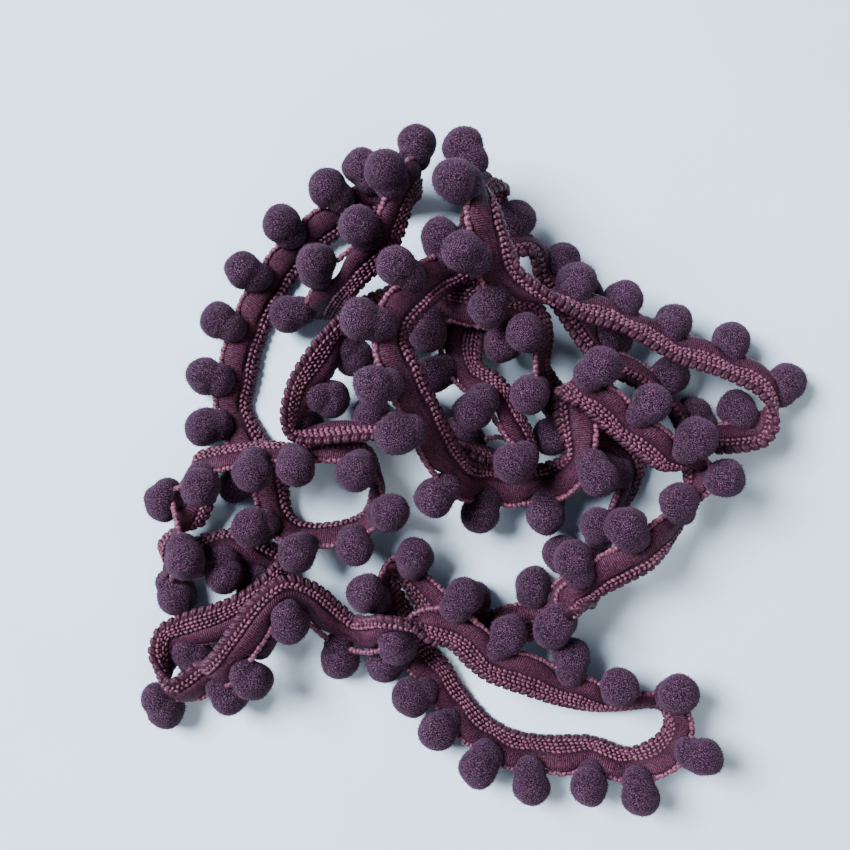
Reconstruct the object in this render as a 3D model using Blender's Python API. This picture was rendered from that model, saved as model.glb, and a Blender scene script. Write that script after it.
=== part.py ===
"""A loose heap of pompom fringe trim, lying on a flat surface.

The trim is one long braided heading with padded scallops along one edge. A fine
beaded cord runs beside the scallops and carries a round chenille pompom at each
dip between them. The heading is one solid. Each stretch of beaded cord is a solid
with its pompoms fused to it, 0.3 mm clear of the heading.
Units are metres, +Z up, and the origin is under the middle of the heap.
"""

import math
from collections import namedtuple

import bmesh
import bpy
import numpy as np

MM = 0.001

# How the heap is seen from above: a point's place in the picture and its height
# give its real place.
PICTURE_CENTRE = 425
FLOOR_SCALE = 0.25 * MM
EYE_HEIGHT = 250 * MM

# The trim, across its width, measured from the middle of the heading.
HEADING_HALF = 4.0 * MM
DIP_REACH = 2.5 * MM
SCALLOP_REACH = 4.1 * MM
BRAID_HALF_THICKNESS = 0.9 * MM
SCALLOP_HALF_THICKNESS = 1.35 * MM
CORD_OUT = 5.4 * MM
CORD_RADIUS = 0.7 * MM
POMPOM_OUT = 8.3 * MM
POMPOM_RADIUS = 4.7 * MM
BALL_STEPS = (-0.88, -0.62, -0.22, 0.22, 0.62, 0.88)
RING_SIDES = 7
SECTIONS_PER_POMPOM = 3
LINK_ROOM = 1.4 * MM
LINK_END = 0.35 * MM
MOST_LEAN = 0.5

# How the stretches ease apart where they lie on each other.
EASE_ROUNDS = 160
EASE_SECTIONS = 6
EASE_LOOK = 6 * MM
EASE_GAP = 0.9 * MM
EASE_STEP = 0.8 * MM
PRESSED = 0.7 * MM
SOFT_LANES = ((-3.2, 1.0), (-1.2, 1.1), (0.9, 1.35), (2.8, 1.35), (5.4, 0.8))
HOME_PULL = 0.02
DENT_MARGIN = 0.8 * MM

Row = namedtuple("Row", "across down height facing tilt")

# The heap's route, one row for each pompom, in the order of the trim. across and
# down are the pompom's place in the picture, and height is its own in millimetres.
# facing is the way from the heading to the pompom, in degrees from the picture's
# right, turning towards its top. tilt is how far the pompom is raised above its
# heading, in degrees.
STRETCHES = {
    "inner_arm": [
        Row(291, 316, 5, 190, 0),
        Row(322, 267, 20, 115, 40),
        Row(362, 221, 24, 140, 45),
        Row(384, 172, 27, 118, 40),
    ],
    "arm_fold": [
        Row(415, 150, 14, 92, 0),
        Row(362, 170, 6, 125, 10),
        Row(329, 186, 10, 125, 35),
        Row(282, 224, 9, 130, 38),
    ],
    "outer_arm": [
        Row(246, 271, 7, 145, 28),
        Row(220, 321, 5, 160, 18),
        Row(206, 376, 4.6, 175, 16),
        Row(206, 432, 4.6, 180, 16),
    ],
    "left_loop_floor": [
        Row(226, 486, 5, 190, 12),
        Row(252, 528, 10, 205, 42),
        Row(296, 552, 12, 262, 60),
        Row(355, 548, 12, 281, 60),
    ],
    "left_loop_turn": [
        Row(390, 513, 14, 330, 60),
        Row(355, 470, 15, 264, 57),
    ],
    "left_loop_top": [
        Row(296, 456, 16, 270, 68),
        Row(253, 470, 16, 262, 55),
        Row(201, 483, 14, 284, 50),
        Row(167, 500, 7, 240, 0),
    ],
    "left_return": [
        Row(208, 560, 12, 296, 36),
        Row(169, 594, 5, 270, -8),
        Row(222, 601, 8, 262, 35),
        Row(264, 608, 6, 265, 20),
        Row(297, 604, 5, 285, 0),
    ],
    "left_tail_low": [
        Row(256, 634, 5, 305, -10),
        Row(214, 662, 5, 308, -15),
    ],
    "left_tail_top": [
        Row(171, 709, 5, 292, -12),
        Row(213, 692, 7, 300, -25),
        Row(260, 660, 10, 305, -25),
        Row(298, 615, 11, 285, -20),
    ],
    "middle_start": [
        Row(338, 655, 5, 276, -15),
        Row(380, 627, 8, 283, -44),
    ],
    "middle_run": [
        Row(464, 597, 15, 54, -5),
        Row(514, 632, 11, 58, 0),
        Row(571, 657, 9, 71, 5),
        Row(620, 687, 11, 80, 48),
        Row(672, 709, 12, 62, 58),
    ],
    "right_hairpin": [
        Row(705, 753, 11, 355, 42),
        Row(644, 788, 9, 270, 42),
        Row(589, 785, 8, 268, 38),
        Row(531, 785, 7, 262, 32),
    ],
    "lower_run": [
        Row(479, 766, 7, 235, 36),
        Row(436, 728, 6, 219, 28),
        Row(416, 694, 5.5, 214, 18),
        Row(390, 653, 5, 220, 12),
    ],
    "curl_and_low_run": [
        Row(371, 588, 11, 150, 50),
        Row(409, 581, 9, 95, 45),
        Row(472, 600, 5, 90, -5),
        Row(534, 584, 5, 95, -15),
        Row(562, 556, 6, 130, -5),
    ],
    "rise_to_centre": [
        Row(600, 524, 10, 125, 60),
        Row(607, 474, 8, 170, 25),
        Row(556, 443, 12, 205, 30),
        Row(534, 386, 22, 186, 58),
        Row(529, 337, 22, 190, 55),
    ],
    "centre_low": [
        Row(497, 345, 12, 215, -10),
        Row(442, 352, 9, 262, 0),
        Row(399, 333, 7, 285, 0),
    ],
    "inner_left": [
        Row(349, 353, 6, 308, -45),
        Row(329, 406, 6, 335, -35),
        Row(305, 427, 5, 45, -70),
    ],
    "inner_floor": [
        Row(371, 414, 5, 80, -60),
        Row(417, 403, 7, 95, -30),
        Row(470, 444, 5, 150, -45),
    ],
    "core_turn": [
        Row(511, 464, 20, 220, 15),
        Row(463, 423, 20, 228, 30),
        Row(430, 371, 14, 225, 20),
    ],
    "core_rise": [
        Row(433, 309, 7, 188, 5),
        Row(449, 247, 5, 175, 0),
        Row(466, 186, 8, 165, 0),
    ],
    "crest": [
        Row(464, 148, 22, 110, 0),
        Row(456, 182, 38, 170, 45),
        Row(462, 249, 36, 172, 30),
        Row(494, 311, 24, 233, -35),
    ],
    "right_arm": [
        Row(572, 287, 16, 80, -44),
        Row(621, 305, 13, 75, -48),
        Row(673, 324, 10, 72, -42),
        Row(731, 342, 7, 68, -38),
    ],
    "right_tip": [
        Row(784, 382, 5, 35, -40),
        Row(738, 409, 5, 120, -35),
        Row(692, 415, 5, 133, -20),
    ],
    "right_back": [
        Row(672, 377, 5, 38, -50),
        Row(612, 338, 8, 45, -45),
        Row(585, 296, 8, 50, -40),
        Row(561, 259, 7, 48, -40),
        Row(513, 221, 8, 55, -40),
    ],
    "arc_top": [
        Row(441, 238, 20, 115, 20),
        Row(397, 269, 30, 140, 30),
        Row(362, 322, 36, 165, 35),
    ],
    "arc_side": [
        Row(374, 378, 36, 185, 30),
        Row(398, 434, 32, 205, 30),
        Row(442, 476, 20, 225, 20),
    ],
    "arc_foot": [
        Row(487, 500, 10, 240, 5),
        Row(547, 510, 10, 275, 5),
        Row(598, 475, 21, 300, 40),
        Row(592, 388, 13, 50, 0),
    ],
    "upper_right": [
        Row(597, 368, 26, 48, 40),
        Row(648, 405, 24, 50, 32),
        Row(696, 438, 22, 50, 35),
        Row(721, 480, 19, 40, 62),
    ],
    "right_foot": [
        Row(678, 506, 16, 119, 58),
        Row(622, 521, 18, 128, 14),
        Row(573, 561, 16, 126, 20),
        Row(547, 629, 12, 230, -30),
    ],
}

PLUM = (0.075, 0.035, 0.060)
PLUM_DARK = (0.060, 0.028, 0.050)


def clear_scene():
    for thing in list(bpy.data.objects):
        bpy.data.objects.remove(thing)


def material(name, colour, roughness):
    finish = bpy.data.materials.new(name)
    finish.use_nodes = True
    shader = finish.node_tree.nodes["Principled BSDF"]
    shader.inputs["Base Color"].default_value = (*colour, 1)
    shader.inputs["Roughness"].default_value = roughness
    shader.inputs["Metallic"].default_value = 0
    return finish


def unit(vectors):
    return vectors / np.maximum(np.linalg.norm(vectors, axis=-1, keepdims=True), 1e-9)


def pompom_places(rows):
    """Each pompom's real place, from where it is seen and how high it lies."""
    table = np.array(rows, float)
    height = table[:, 2] * MM
    scale = FLOOR_SCALE * (EYE_HEIGHT - height) / EYE_HEIGHT
    across = (table[:, 0] - PICTURE_CENTRE) * scale
    up = (PICTURE_CENTRE - table[:, 1]) * scale
    return np.stack([across, up, height], axis=1)


def pompom_facings(rows):
    """The way from the heading to each pompom."""
    table = np.radians(np.array(rows, float)[:, 3:5])
    facing, tilt = table[:, 0], table[:, 1]
    level = np.cos(tilt)
    return np.stack([level * np.cos(facing), level * np.sin(facing), np.sin(tilt)], axis=1)


def along(points):
    """The direction of travel at each point of a line."""
    ends = np.concatenate([2 * points[:1] - points[1:2], points, 2 * points[-1:] - points[-2:-1]])
    return unit(ends[2:] - ends[:-2])


def square_to(facings, directions):
    """The facings, turned to stand square to the direction of travel."""
    lean = np.sum(facings * directions, axis=1, keepdims=True)
    return unit(facings - np.clip(lean, -0.9, 0.9) * directions)


def heading_middles(places, facings):
    """The heading's middle beside each pompom, and the facings made square to it."""
    middles = places - POMPOM_OUT * facings
    squared = facings
    for _ in range(3):
        squared = square_to(facings, along(middles))
        middles = places - POMPOM_OUT * squared
    return middles, squared


def curve_between(points, steps):
    """A smooth curve through the points, with the given steps between each two."""
    ends = np.concatenate([2 * points[:1] - points[1:2], points, 2 * points[-1:] - points[-2:-1]])
    before, start, stop, after = ends[:-3], ends[1:-2], ends[2:-1], ends[3:]
    pieces = []
    for step in range(steps):
        t = step / steps
        pieces.append(
            0.5 * (2 * start + (stop - before) * t
                   + (2 * before - 5 * start + 4 * stop - after) * t ** 2
                   + (3 * start - before - 3 * stop + after) * t ** 3)
        )
    curve = np.stack(pieces, axis=1).reshape(-1, 3)
    return np.concatenate([curve, points[-1:]])


def trim_frames(places, facings, steps=SECTIONS_PER_POMPOM):
    """The heading's middle line and its facing at each section."""
    middles, squared = heading_middles(places, facings)
    line = curve_between(middles, steps)
    share = np.linspace(0, len(places) - 1, len(line))
    lower = np.minimum(share.astype(int), len(places) - 2)
    part = (share - lower)[:, None]
    blended = unit(squared[lower] * (1 - part) + squared[lower + 1] * part)
    turned = square_to(blended, along(line))
    turned[::steps] = squared
    return line, turned, share


def spread(moves, share, count):
    """Moves of points along the trim, handed to the rows on either side."""
    lower = np.minimum(share.astype(int), count - 2)
    part = (share - lower)[:, None]
    total = np.zeros((count, 3))
    weight = np.zeros((count, 1))
    touched = (np.abs(moves).sum(axis=1, keepdims=True) > 0).astype(float)
    for index, share_of in ((lower, 1 - part), (lower + 1, part)):
        np.add.at(total, index, moves * share_of)
        np.add.at(weight, index, touched * share_of)
    return total / np.maximum(weight, 1)


def soft_spots(places, facings):
    """Small spheres that stand for the trim while its stretches ease apart."""
    line, turned, share = trim_frames(places, facings, EASE_SECTIONS)
    count = len(places)
    spots = [places]
    sizes = [np.full(count, POMPOM_RADIUS)]
    shares = [np.arange(count, dtype=float)]
    for out, size in SOFT_LANES:
        spots.append(line + out * MM * turned)
        sizes.append(np.full(len(line), size * MM))
        shares.append(share)
    return np.concatenate(spots), np.concatenate(sizes), np.concatenate(shares)


def near_pairs(spots, sizes, shares, count):
    """The pairs of spheres that lie near each other but not along the same fold."""
    squares = (spots ** 2).sum(axis=1)
    apart = squares[:, None] + squares[None, :] - 2 * spots @ spots.T
    reach = sizes[:, None] + sizes[None, :] + EASE_LOOK
    is_ball = np.arange(len(spots)) < count
    is_cord = np.arange(len(spots)) >= len(spots) - (len(spots) - count) // len(SOFT_LANES)
    both = is_ball[:, None] & is_ball[None, :]
    one = is_ball[:, None] & is_cord[None, :]
    least = np.where(both, 0.5, np.where(one | one.T, 0.9, 0.4))
    steps_off = np.abs(shares[:, None] - shares[None, :])
    first, second = np.nonzero((apart < reach ** 2) & (steps_off > least))
    ordered = first < second
    return first[ordered], second[ordered]


def ease_apart(places, facings):
    """Raise and shift the rows until no two stretches pass through each other."""
    home = places
    count = len(places)
    for round_number in range(EASE_ROUNDS):
        spots, sizes, shares = soft_spots(places, facings)
        if round_number % 8 == 0:
            first, second = near_pairs(spots, sizes, shares, count)
        apart = spots[first] - spots[second]
        distance = np.maximum(np.linalg.norm(apart, axis=1), 1e-6)
        overlap = np.maximum(sizes[first] + sizes[second] + EASE_GAP - distance, 0)
        push = apart * (overlap / distance * 0.5)[:, None]
        moves = np.zeros_like(spots)
        np.add.at(moves, first, push)
        np.add.at(moves, second, -push)
        floor = np.where(np.arange(len(spots)) < count, sizes - PRESSED, sizes)
        moves[:, 2] += np.maximum(floor - spots[:, 2], 0)
        shift = spread(moves, shares, count)
        length = np.linalg.norm(shift, axis=1, keepdims=True)
        shift *= np.minimum(1, EASE_STEP / np.maximum(length, 1e-9))
        places = places + shift + HOME_PULL * (home - places)
        places[:, 2] = np.maximum(places[:, 2], POMPOM_RADIUS - PRESSED)
    return places


def clear_of(points, places, least):
    """The points, moved out of every pompom to the least distance from its middle."""
    for place in places:
        away = points - place
        distance = np.maximum(np.linalg.norm(away, axis=-1, keepdims=True), 1e-6)
        points = place + away * np.maximum(1, least / distance)
    return points


def all_rows():
    rows = []
    for stretch in STRETCHES.values():
        rows.extend(stretch)
    return rows


def loft(name, rings, collection, finish):
    """A closed solid through a row of like-numbered rings, capped at both ends."""
    bm = bmesh.new()
    layers = [[bm.verts.new(point) for point in ring] for ring in rings]
    sides = len(layers[0])
    for first, second in zip(layers, layers[1:]):
        for side in range(sides):
            other = (side + 1) % sides
            bm.faces.new((first[side], first[other], second[other], second[side]))
    bm.faces.new(tuple(reversed(layers[0])))
    bm.faces.new(tuple(layers[-1]))
    bmesh.ops.recalc_face_normals(bm, faces=bm.faces)
    mesh = bpy.data.meshes.new(name)
    bm.to_mesh(mesh)
    bm.free()
    mesh.shade_smooth()
    mesh.materials.append(finish)
    thing = bpy.data.objects.new(name, mesh)
    collection.objects.link(thing)
    return thing


def on_floor(ring):
    """The ring with whatever would pass through the floor pressed flat against it."""
    ring = np.array(ring)
    ring[:, 2] = np.maximum(ring[:, 2], 0)
    return ring


def heading_ring(middle, facing, direction, scallop):
    """The heading's section: a braided band that swells into a padded scallop."""
    normal = np.cross(direction, facing)
    reach = DIP_REACH + (SCALLOP_REACH - DIP_REACH) * scallop
    swell = BRAID_HALF_THICKNESS + (SCALLOP_HALF_THICKNESS - BRAID_HALF_THICKNESS) * scallop
    shoulder = reach - 1.2 * MM
    outline = [
        (-HEADING_HALF, 0),
        (-HEADING_HALF + 1.3 * MM, -BRAID_HALF_THICKNESS),
        (shoulder, -swell),
        (reach, 0),
        (shoulder, swell),
        (-HEADING_HALF + 1.3 * MM, BRAID_HALF_THICKNESS),
    ]
    return np.array([middle + out * facing + lift * normal for out, lift in outline])


def scallop_fullness(room):
    """How far a scallop swells, from the room between the heading and the cord beside it."""
    return min(1.0, max(-0.5, (room - LINK_ROOM - DIP_REACH) / (SCALLOP_REACH - DIP_REACH)))


def heading_rings(line, facings, share, places, links):
    """The heading's sections, dented wherever a pompom presses into them."""
    directions = along(line)
    rings = []
    for middle, facing, direction, place in zip(line, facings, directions, share):
        scallop = 0.0
        if abs(place - round(place)) > 0.1:
            scallop = scallop_fullness(np.dot(links[int(place)] - middle, facing))
        ring = heading_ring(middle, facing, direction, scallop)
        for _ in range(2):
            ring = clear_of(ring, places, POMPOM_RADIUS + DENT_MARGIN)
        rings.append(on_floor(ring))
    return rings


def round_ring(centre, facing, direction, radius, first_turn):
    """A round section of the beaded cord or of a pompom."""
    normal = np.cross(direction, facing)
    ring = []
    for corner in range(RING_SIDES):
        turn = first_turn + math.tau * corner / RING_SIDES
        ring.append(centre + radius * (math.cos(turn) * facing + math.sin(turn) * normal))
    return on_floor(ring)


def flat_side_down(facing, direction):
    """The turn that lays one side of a pompom's rings against the floor."""
    normal = np.cross(direction, facing)
    side = math.tau / RING_SIDES
    down = math.atan2(-normal[2], -facing[2])
    return down % side - side / 2


def link_places(places, facings):
    """Where the beaded cord passes between each pompom and the next, clear of every pompom."""
    line, turned, _ = trim_frames(places, facings, EASE_SECTIONS)
    halfway = slice(EASE_SECTIONS // 2, None, EASE_SECTIONS)
    links = line[halfway] + CORD_OUT * turned[halfway]
    for _ in range(3):
        links = clear_of(links, places, POMPOM_RADIUS + LINK_ROOM)
    return links


def squared(facing, direction):
    """One facing, turned to stand square to the direction."""
    return square_to(facing[None], direction[None])[0]


def link_ring(index, places, facings, links, shift):
    """The section of the beaded cord halfway between a pompom and the next."""
    direction = unit(places[index + 1] - places[index])
    facing = squared(unit(facings[index] + facings[index + 1]), direction)
    return round_ring(links[index] + shift * direction, facing, direction, CORD_RADIUS, 0)


def ball_rings(place, facing, into, out):
    """The sections of one pompom, which turn from the way into it to the way out of it."""
    through = unit(into + out)
    side = unit(out - into)
    lean = min(np.dot(out, side), MOST_LEAN)
    rings = []
    for reach in BALL_STEPS:
        end = math.sqrt(1 - lean ** 2) * through + math.copysign(lean, reach) * side
        direction = unit(through + (reach / BALL_STEPS[-1]) ** 2 * (end - through))
        square = squared(facing, direction)
        turn = flat_side_down(square, direction)
        radius = POMPOM_RADIUS * math.sqrt(1 - reach ** 2)
        rings.append(round_ring(place + reach * POMPOM_RADIUS * direction, square, direction, radius, turn))
    return rings


def untwisted(rings):
    """The rings, each starting at the corner that faces the start of the one before."""
    turned = rings[:1]
    for ring in rings[1:]:
        before = turned[-1] - turned[-1].mean(axis=0)
        around = ring - ring.mean(axis=0)
        match = [np.sum(np.roll(around, step, axis=0) * before) for step in range(len(ring))]
        turned.append(np.roll(ring, int(np.argmax(match)), axis=0))
    return turned


def pompom_rings(first, count, places, facings, links):
    """The rings of one stretch: the beaded cord, swelling into each of its pompoms."""
    last = first + count - 1
    rings = []
    if first > 0:
        rings.append(link_ring(first - 1, places, facings, links, LINK_END))
    for index in range(first, last + 1):
        into = unit(places[index] - links[index - 1]) if index > 0 else None
        out = unit(links[index] - places[index]) if index < len(links) else into
        into = out if into is None else into
        rings.extend(ball_rings(places[index], facings[index], into, out))
        if index < len(links):
            shift = -LINK_END if index == last else 0
            rings.append(link_ring(index, places, facings, links, shift))
    return untwisted(rings)


def main():
    clear_scene()
    heap = bpy.data.collections.new("pompom_trim")
    bpy.context.scene.collection.children.link(heap)
    braid = material("braid", PLUM, 0.6)
    pile = material("pile", PLUM_DARK, 0.95)
    rows = all_rows()
    facings = pompom_facings(rows)
    places = ease_apart(pompom_places(rows), facings)
    links = link_places(places, facings)
    solids = {"heading": heading_rings(*trim_frames(places, facings), places, links)}
    first = 0
    for name, stretch in STRETCHES.items():
        solids["pompoms_" + name] = pompom_rings(first, len(stretch), places, facings, links)
        first += len(stretch)
    corners = np.concatenate([np.array(rings).reshape(-1, 3) for rings in solids.values()])
    middle = (corners.min(axis=0) + corners.max(axis=0)) / 2
    middle[2] = 0
    for name, rings in solids.items():
        loft(name, np.array(rings) - middle, heap, braid if name == "heading" else pile)


main()
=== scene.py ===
"""Looks for the plum pompom trim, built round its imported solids.

Each operator makes one piece or one group of like pieces: the braided band, the
stitches that cover it, the satin-wrapped scallops, the beaded cord, the chenille
pompoms with their pile, and the stage. Run the file as a script in Blender.
"""

from collections import namedtuple
from functools import lru_cache

import bmesh
import bpy
import numpy as np
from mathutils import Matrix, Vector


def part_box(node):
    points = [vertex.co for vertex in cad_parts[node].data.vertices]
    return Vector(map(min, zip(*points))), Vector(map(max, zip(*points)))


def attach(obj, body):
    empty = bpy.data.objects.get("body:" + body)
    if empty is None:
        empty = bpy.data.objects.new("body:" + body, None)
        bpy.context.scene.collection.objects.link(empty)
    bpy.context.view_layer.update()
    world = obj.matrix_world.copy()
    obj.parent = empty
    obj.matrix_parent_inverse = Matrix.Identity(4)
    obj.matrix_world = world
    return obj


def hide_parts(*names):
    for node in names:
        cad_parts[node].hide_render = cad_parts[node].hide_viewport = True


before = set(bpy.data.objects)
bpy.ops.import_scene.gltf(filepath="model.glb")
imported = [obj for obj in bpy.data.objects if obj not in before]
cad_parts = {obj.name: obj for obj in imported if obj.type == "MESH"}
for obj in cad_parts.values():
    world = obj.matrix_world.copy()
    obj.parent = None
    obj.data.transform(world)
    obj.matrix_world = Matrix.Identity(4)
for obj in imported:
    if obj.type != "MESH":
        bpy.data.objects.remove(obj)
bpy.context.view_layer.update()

bl_info = {
    "name": "Pompom Trim",
    "version": (1, 0, 0),
    "blender": (4, 5, 0),
    "location": "View3D > Sidebar > Trim",
    "description": "Builds a loose heap of pompom fringe trim round its solids",
    "category": "Add Mesh",
}

MM = 0.001
SQUARE_MM_IN_SQUARE_METRE = 1000000.0
TINY = 1e-9
LEAST_DISTANCE = 1e-6

# How the heap is seen from above, and the trim's sizes across its width.
PICTURE_CENTRE = 425
FLOOR_SCALE = 0.25 * MM
EYE_HEIGHT = 250 * MM
HEADING_HALF = 4.0 * MM
DIP_REACH = 2.5 * MM
SCALLOP_REACH = 4.1 * MM
BRAID_HALF_THICKNESS = 0.9 * MM
SCALLOP_HALF_THICKNESS = 1.35 * MM
BRAID_SHOULDER = 1.3 * MM
SCALLOP_SHOULDER = 1.2 * MM
CORD_OUT = 5.4 * MM
POMPOM_OUT = 8.3 * MM
POMPOM_RADIUS = 4.7 * MM
SECTIONS_PER_POMPOM = 3
AT_A_DIP = 0.1
LEAST_FULLNESS = -0.5
LINK_ROOM = 1.4 * MM
LINK_ROUNDS = 3
MOST_LEAN = 0.9
SQUARE_ROUNDS = 3

# How the stretches ease apart where they lie on each other, and dent the heading.
EASE_ROUNDS = 160
EASE_SECTIONS = 6
EASE_LOOK = 6 * MM
EASE_GAP = 0.9 * MM
EASE_STEP = 0.8 * MM
PAIRS_EVERY = 8
PRESSED = 0.7 * MM
SOFT_LANES = ((-3.2, 1.0), (-1.2, 1.1), (0.9, 1.35), (2.8, 1.35), (5.4, 0.8))
HOME_PULL = 0.02
DENT_MARGIN = 0.8 * MM
DENT_ROUNDS = 2

# How many pompoms along the trim two spots have to lie apart before they push.
BALLS_APART = 0.5
BALL_AND_CORD_APART = 0.9
OTHERS_APART = 0.4

# How the corners of the heading's section lie, and how finely the pieces follow them.
OUTER_EDGE = 0
SCALLOP_EDGE = 3
UPPER_FACE = (0, 5, 4, 3)
LOWER_FACE = (0, 1, 2, 3)
FINE_STEPS = 4
LOWEST_SECTION = 0.1 * MM
LOWEST_SKIN = 0.05 * MM
BAND_SHARE = 0.97
BEAD_SIZES = ("Bead Length", "Bead Width", "Bead Height")

# The slanted stitches on the edge. Angles are in degrees, unless their name says
# radians. A pair of sizes is the least and the most share of the full size.
STRAND_APART = 0.34 * MM
EDGE_INSET = 0.9 * MM
EDGE_HEIGHT = 2.0 * MM
EDGE_LOWEST = 0.75 * MM
EDGE_LEAN = 60
EDGE_LEAN_VARIES = 7
EDGE_SIZES = (0.93, 1.07)
STITCH_SEED = 3

# The small stitches on the faces. Their rows are places across the face.
FACE_PITCH = 1.3 * MM
FACE_LIFT = 0.12 * MM
FACE_LOWEST = 0.3 * MM
FACE_SLANT_VARIES = 14
FACE_SIZES = (0.84, 1.14)
LADDER_ROWS = (1.06, 1.23, 1.40, 1.57)
LADDER_SLANTS = (16, -16)
LADDER_HEIGHT = 0.95 * MM
CHAIN_ROWS = (1.1, 1.29)
CHAIN_SLANTS = (38, -30)
CHAIN_HEIGHT = 1.05 * MM
CHAIN_WIDENED = 1.1

# The scallops: where their satin begins on each face, the share of its width that
# lies inwards of its middle, and how far it and its threads stand out.
SATIN_ABOVE = 1.66
SATIN_BELOW = 1.44
SATIN_INWARDS = 0.35
SATIN_INNER_COVER = 0.3 * MM
SATIN_OUTER_COVER = 0.2 * MM
SATIN_FACE_COVER = 0.05 * MM
SATIN_LOBE = 0.9 * MM
SATIN_SWEEP = 150
SATIN_POINTS = 12
THREAD_RIDGE = 0.045 * MM
THREAD_VARIES = 0.02 * MM
THREAD_SLANT = 0.16
MAP_PER_METRE = 100
SATIN_SEED = 10

# The beaded cord.
CORD_FROM_MIDDLE = 3.6 * MM
CORD_STEPS = 8
CORD_WIDTH = 1.4 * MM
CORD_HEIGHT = 1.3 * MM
CORD_LOWEST = 0.65 * MM
CORD_SLANT_RADIANS = 0.5
UP_NUDGE = 1e-6
CORD_SIZES = (0.9, 1.12)
CORD_SEED = 6

# The pompoms: the waves over their surface, their two lobes and their fibres.
BALL_SUBDIVISIONS = 4
WAVES = 7
WAVE_HEIGHTS = (0.008, 0.022)
WAVE_RADIANS = (3, 6)
WAVE_STARTS = (0, 6)
LOBE_FORWARDS = 0.2 * MM
LOBE_SIZES = (0.97, 1.04)
ROOT_LEANS = 0.18
ROOT_SIZES = (0.93, 1.06)
ROOT_BACK = (0.74, 0.9)
POMPOM_SEED = 11
FIBRE_WIDTH = 0.07 * MM
FIBRE_SIDES = 3
FIBRE_TURNS_RADIANS = ((-0.55, -0.55, 0), (0.55, 0.55, 6.28))
FIBRE_SIZES = (0.6, 1.2)
PILE_SEED = 5

# Where the random value node keeps its least, its most and its result.
RANDOM_SOCKETS = {"FLOAT_VECTOR": (0, 1, 0), "FLOAT": (2, 3, 1)}

# Where the mix node keeps its two colours and its result.
MIX_FIRST = 6
MIX_SECOND = 7
MIX_RESULT = 2

# The yarns' finishes. A grain is the fineness of the fibres in the finish.
Yarn = namedtuple("Yarn", "grain roughness bump specular")
BAND_YARN = Yarn(grain=1400, roughness=0.7, bump=0.5, specular=0.3)
EDGE_YARN = Yarn(grain=2200, roughness=0.5, bump=0.6, specular=0.3)
STITCH_YARN = Yarn(grain=1800, roughness=0.5, bump=0.35, specular=0.4)
SATIN_YARN = Yarn(grain=2600, roughness=0.66, bump=0.6, specular=0.18)
FIBRE_YARN = Yarn(grain=1600, roughness=0.6, bump=0.2, specular=0.3)
YARN_SHINE_TINT = (1.0, 0.62, 0.78, 1)
YARN_ENDS = (0.34, 0.66)
YARN_DETAIL = 3
YARN_PATCHES = 90
YARN_PATCH_SHADE = (0.72, 0.7, 0.74)
YARN_RELIEF = 0.15 * MM
SMOOTHER = 0.08
ROUGHER = 0.1
NOISE_ROUGHNESS = 0.6
PATCH_ENDS = (0.3, 0.7)
PATCH_DETAIL = 2
WHITE = (1, 1, 1)

# The satin's threads, the chenille's pile and the floor.
SATIN_THREADS = {"Scale": 6.0, "Distortion": 2.5, "Detail": 1}
# Painted shade: the satin's colour is darkened in the grooves between its threads.
SATIN_GROOVE_SHADE = ((0.1, (0.3, 0.27, 0.3)), (0.6, WHITE))
SATIN_RELIEF = {"Strength": 0.6, "Distance": 0.12 * MM}
PILE_VALUES = {
    "Roughness": 0.95,
    "Specular IOR Level": 0.15,
    "Sheen Weight": 0.1,
    "Sheen Roughness": 0.5,
    "Sheen Tint": (0.75, 0.40, 0.70, 1),
}
PILE_GRAIN = 4200
PILE_DETAIL = 1
# Where the pile's painted shade, its own colour and its painted glints lie on the fine noise.
PILE_STOPS = (0.40, 0.52, 0.66)
PILE_PATCHES = 140
PILE_PATCH_SHADE = (0.7, 0.68, 0.74)
PILE_RELIEF = {"Strength": 0.8, "Distance": 0.25 * MM}
FLOOR_VALUES = {"Roughness": 0.7}
FLOOR_PATCHES = 12
FLOOR_PATCH_SHARE = 0.94
FLOOR_HALF = 3.0

# The room's light and the camera.
ROOM_VALUES = {"Color": (0.76, 0.87, 1.0, 1), "Strength": 0.2}
Lamp = namedtuple("Lamp", "name place size power tint")
LAMPS = (
    Lamp("window", place=(-1.2, 0.6, 1.4), size=0.9, power=142.0, tint=(0.93, 0.96, 1.0)),
    Lamp("fill", place=(1.0, -0.8, 1.2), size=1.2, power=14.0, tint=(1.0, 0.95, 0.88)),
)
SENSOR_WIDTH = 36
NEAREST_SEEN = 0.01

Row = namedtuple("Row", "across down height facing tilt")

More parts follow.
